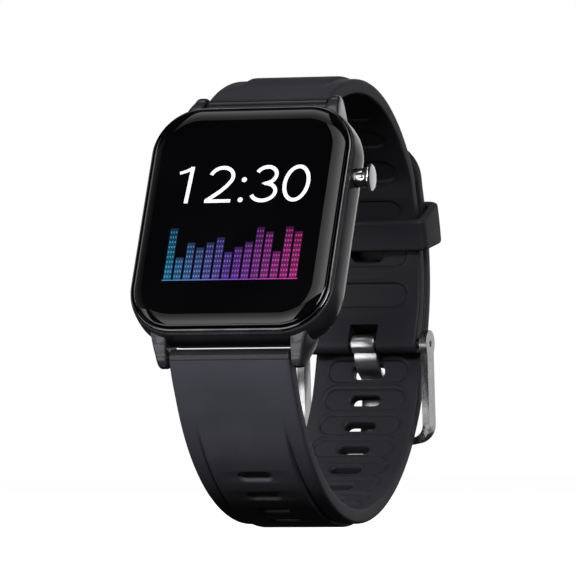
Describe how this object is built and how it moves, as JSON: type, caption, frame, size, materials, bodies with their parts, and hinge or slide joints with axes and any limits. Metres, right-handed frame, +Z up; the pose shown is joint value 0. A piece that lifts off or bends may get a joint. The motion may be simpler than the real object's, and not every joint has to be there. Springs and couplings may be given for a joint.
{
  "type": "smartwatch",
  "caption": "Square smartwatch with domed glass, side crown, pin buckle and slotted rubber strap closed in a loop, with its inner parts.",
  "frame": {"origin": "middle of the footprint, at the lowest point of the strap loop", "axes": "+X towards the crown side, -Y the way the leaning face looks, +Z up"},
  "size_m": [0.037, 0.0746, 0.0716],
  "materials": {
    "case_metal": "satin black",
    "dark_mirror": "polished dark",
    "cover_glass": "polished",
    "display": "gloss",
    "steel": "brushed",
    "chrome": "mirror",
    "strap_rubber": "soft matt",
    "black_plastic": "matt",
    "white_plastic": "matt",
    "circuit_board": "satin",
    "foil": "satin",
    "gold_contact": "polished"
  },
  "bodies": {
    "watch": {"case_shell": "case_metal", "bezel_ring": "dark_mirror", "glass_lens": "cover_glass", "sensor_window": "cover_glass", "pulse_photodiode": "cover_glass", "display_panel": "display", "glass_seal": "black_plastic", "back_cover": "black_plastic", "mid_frame": "black_plastic", "processor_chip": "black_plastic", "memory_chip": "black_plastic", "board_connector": "black_plastic", "switch_body": "black_plastic", "back_cover_seal": "strap_rubber", "strap_short": "strap_rubber", "strap_long": "strap_rubber", "case_screw_1": "steel", "case_screw_2": "steel", "case_screw_3": "steel", "case_screw_4": "steel", "motor_can": "steel", "crown_tube": "steel", "crown_spring": "steel", "upper_bar_tube": "steel", "upper_bar_spring": "steel", "lower_bar_tube": "steel", "lower_bar_spring": "steel", "buckle_bar_tube": "steel", "buckle_bar_spring": "steel", "motor_pin": "chrome", "sensor_board": "circuit_board", "main_board": "circuit_board", "battery": "foil", "shield_can": "foil", "charge_magnet_1": "foil", "charge_magnet_2": "foil", "motor_base": "foil", "charge_contact_1": "gold_contact", "charge_contact_2": "gold_contact", "pulse_led_1": "gold_contact", "pulse_led_2": "gold_contact", "display_flex": "gold_contact", "battery_lead": "gold_contact"},
    "motor_rotor": {"motor_rotor": "foil"},
    "crown_slide": {"crown_pusher": "white_plastic"},
    "crown": {"crown_cap": "chrome", "crown_shaft": "steel", "crown_seal": "strap_rubber", "crown_clip": "steel"},
    "switch_plunger": {"switch_plunger": "gold_contact"},
    "keeper": {"keeper_loop": "strap_rubber"},
    "buckle": {"buckle_frame": "steel"},
    "tongue": {"buckle_tongue": "chrome"},
    "upper_bar_tip_left": {"upper_bar_tip_left": "steel"},
    "upper_bar_tip_right": {"upper_bar_tip_right": "steel"},
    "lower_bar_tip_left": {"lower_bar_tip_left": "steel"},
    "lower_bar_tip_right": {"lower_bar_tip_right": "steel"},
    "buckle_bar_tip_left": {"buckle_bar_tip_left": "steel"},
    "buckle_bar_tip_right": {"buckle_bar_tip_right": "steel"}
  },
  "joints": [
    {"name": "crown_press", "type": "slide", "parent": "watch", "child": "crown_slide", "axis": [-1, 0, 0], "range_m": [0, 0.00035], "stiffness_N_per_m": 3000, "springref_m": -0.0003, "deforming": ["crown_spring"]},
    {"name": "crown_spin", "type": "hinge", "parent": "crown_slide", "child": "crown", "pos_m": [0.01564, -0.02321, 0.05464], "axis": [1, 0, 0], "continuous": true},
    {"name": "switch_press", "type": "slide", "parent": "watch", "child": "switch_plunger", "axis": [-1, 0, 0], "range_m": [0, 0.00035]},
    {"name": "motor_spin", "type": "hinge", "parent": "watch", "child": "motor_rotor", "pos_m": [-0.00826, -0.0212, 0.05664], "axis": [0, 0.91, -0.4147], "continuous": true},
    {"name": "keeper_slide", "type": "hinge", "parent": "watch", "child": "keeper", "pos_m": [-0.00136, 0.00536, 0.04029], "axis": [1, 0, 0], "range_deg": [-18, 2]},
    {"name": "buckle_tilt", "type": "hinge", "parent": "watch", "child": "buckle", "pos_m": [-0.00136, 0.02902, 0.02951], "axis": [1, 0, 0], "range_deg": [-0.8, 1.6]},
    {"name": "tongue_tilt", "type": "hinge", "parent": "buckle", "child": "tongue", "pos_m": [-0.00136, 0.02902, 0.02951], "axis": [1, 0, 0], "range_deg": [0, 1.5]},
    {"name": "upper_bar_tip_left_press", "type": "slide", "parent": "watch", "child": "upper_bar_tip_left", "axis": [1, 0, 0], "range_m": [0, 0.0012], "stiffness_N_per_m": 1500, "springref_m": -0.0004, "deforming": ["upper_bar_spring"]},
    {"name": "upper_bar_tip_right_press", "type": "slide", "parent": "watch", "child": "upper_bar_tip_right", "axis": [-1, 0, 0], "range_m": [0, 0.0012], "stiffness_N_per_m": 1500, "springref_m": -0.0004, "deforming": ["upper_bar_spring"]},
    {"name": "lower_bar_tip_left_press", "type": "slide", "parent": "watch", "child": "lower_bar_tip_left", "axis": [1, 0, 0], "range_m": [0, 0.0012], "stiffness_N_per_m": 1500, "springref_m": -0.0004, "deforming": ["lower_bar_spring"]},
    {"name": "lower_bar_tip_right_press", "type": "slide", "parent": "watch", "child": "lower_bar_tip_right", "axis": [-1, 0, 0], "range_m": [0, 0.0012], "stiffness_N_per_m": 1500, "springref_m": -0.0004, "deforming": ["lower_bar_spring"]},
    {"name": "buckle_bar_tip_left_press", "type": "slide", "parent": "watch", "child": "buckle_bar_tip_left", "axis": [1, 0, 0], "range_m": [0, 0.001], "stiffness_N_per_m": 1500, "springref_m": -0.0004, "deforming": ["buckle_bar_spring"]},
    {"name": "buckle_bar_tip_right_press", "type": "slide", "parent": "watch", "child": "buckle_bar_tip_right", "axis": [-1, 0, 0], "range_m": [0, 0.001], "stiffness_N_per_m": 1500, "springref_m": -0.0004, "deforming": ["buckle_bar_spring"]}
  ],
  "couplings": [
    {"joint": "switch_press", "follows": "crown_press", "ratio": 1}
  ]
}
